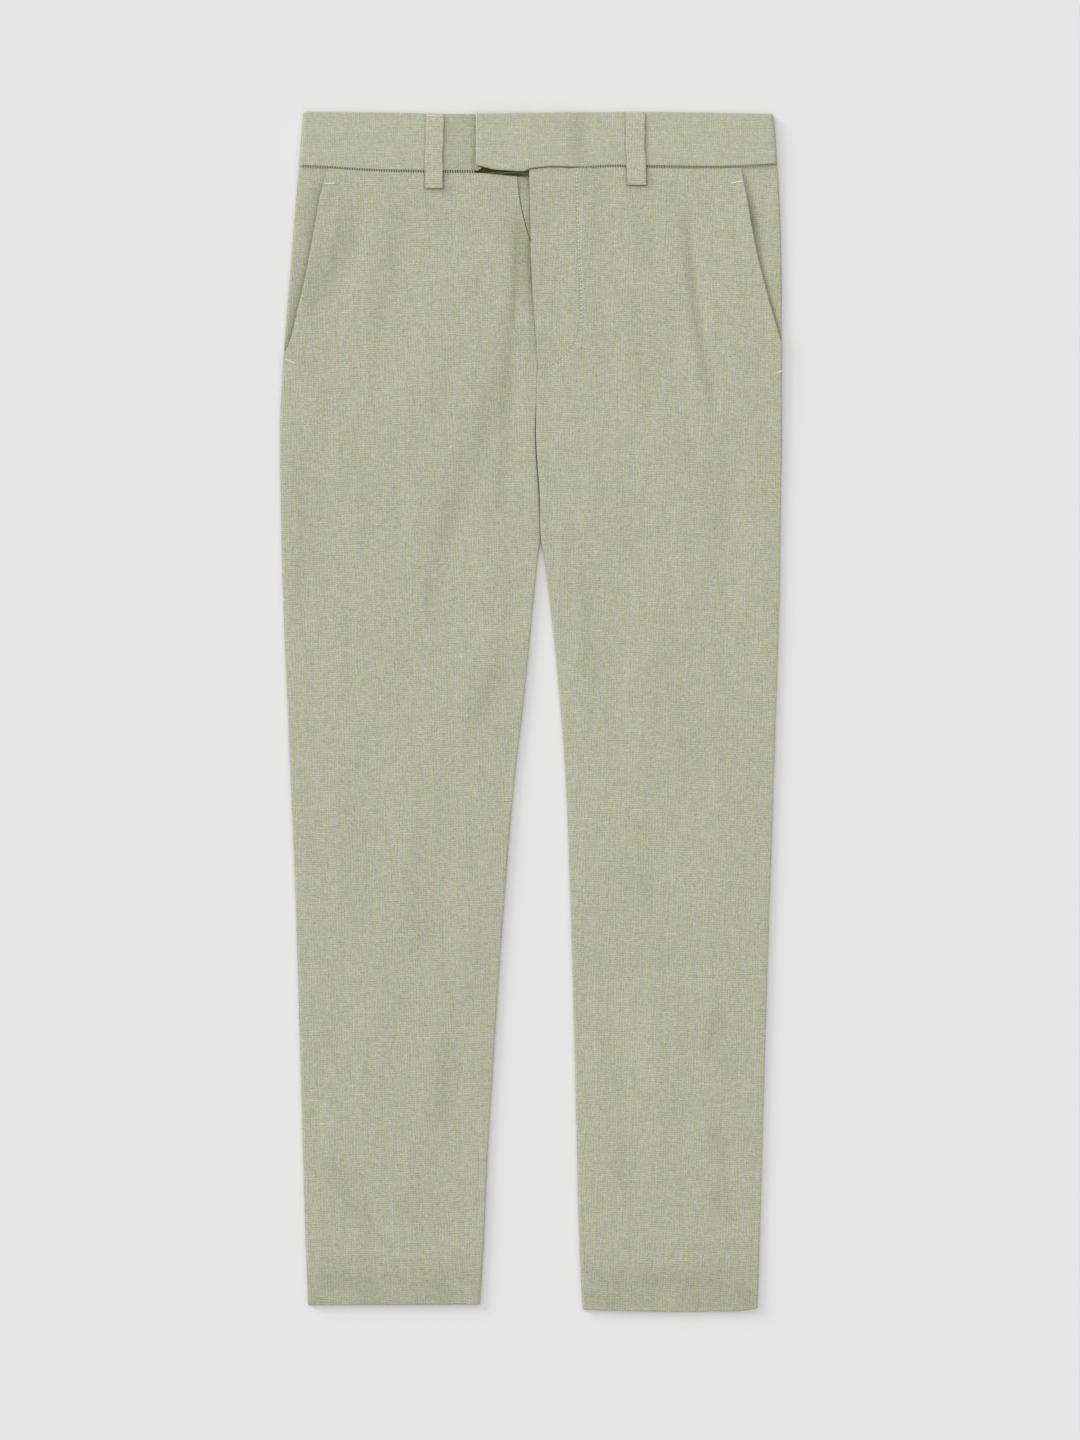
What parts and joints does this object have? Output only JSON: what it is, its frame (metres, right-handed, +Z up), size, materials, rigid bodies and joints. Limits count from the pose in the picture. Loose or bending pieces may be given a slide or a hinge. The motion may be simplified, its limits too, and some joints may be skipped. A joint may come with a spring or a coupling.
{
  "type": "linen trousers laid flat",
  "caption": "Long slim tapered linen trousers in sage green, laid flat, with a tab waistband, belt loops, a fly and slant side pockets.",
  "frame": {"origin": "centre of the garment's outline, on the surface that it lies on", "axes": "+Y from the hems to the waist, +X toward the wearer's left, +Z up out of the surface, on the side of the fronts"},
  "size_m": [0.3217, 0.7684, 0.0074],
  "materials": {
    "linen": "plain-weave sage linen, matt, with fine slubs",
    "zip_tape": "matt woven tape"
  },
  "bodies": {
    "root": {"back_panel_right": "linen", "back_panel_left": "linen", "front_panel_right": "linen", "front_panel_left": "linen", "pocket_facing_right": "linen", "pocket_facing_left": "linen", "waistband_right": "linen", "waistband_left": "linen", "belt_loop_right": "linen", "belt_loop_left": "linen", "fly_shield": "linen", "fly_zip": "zip_tape"}
  },
  "joints": []
}
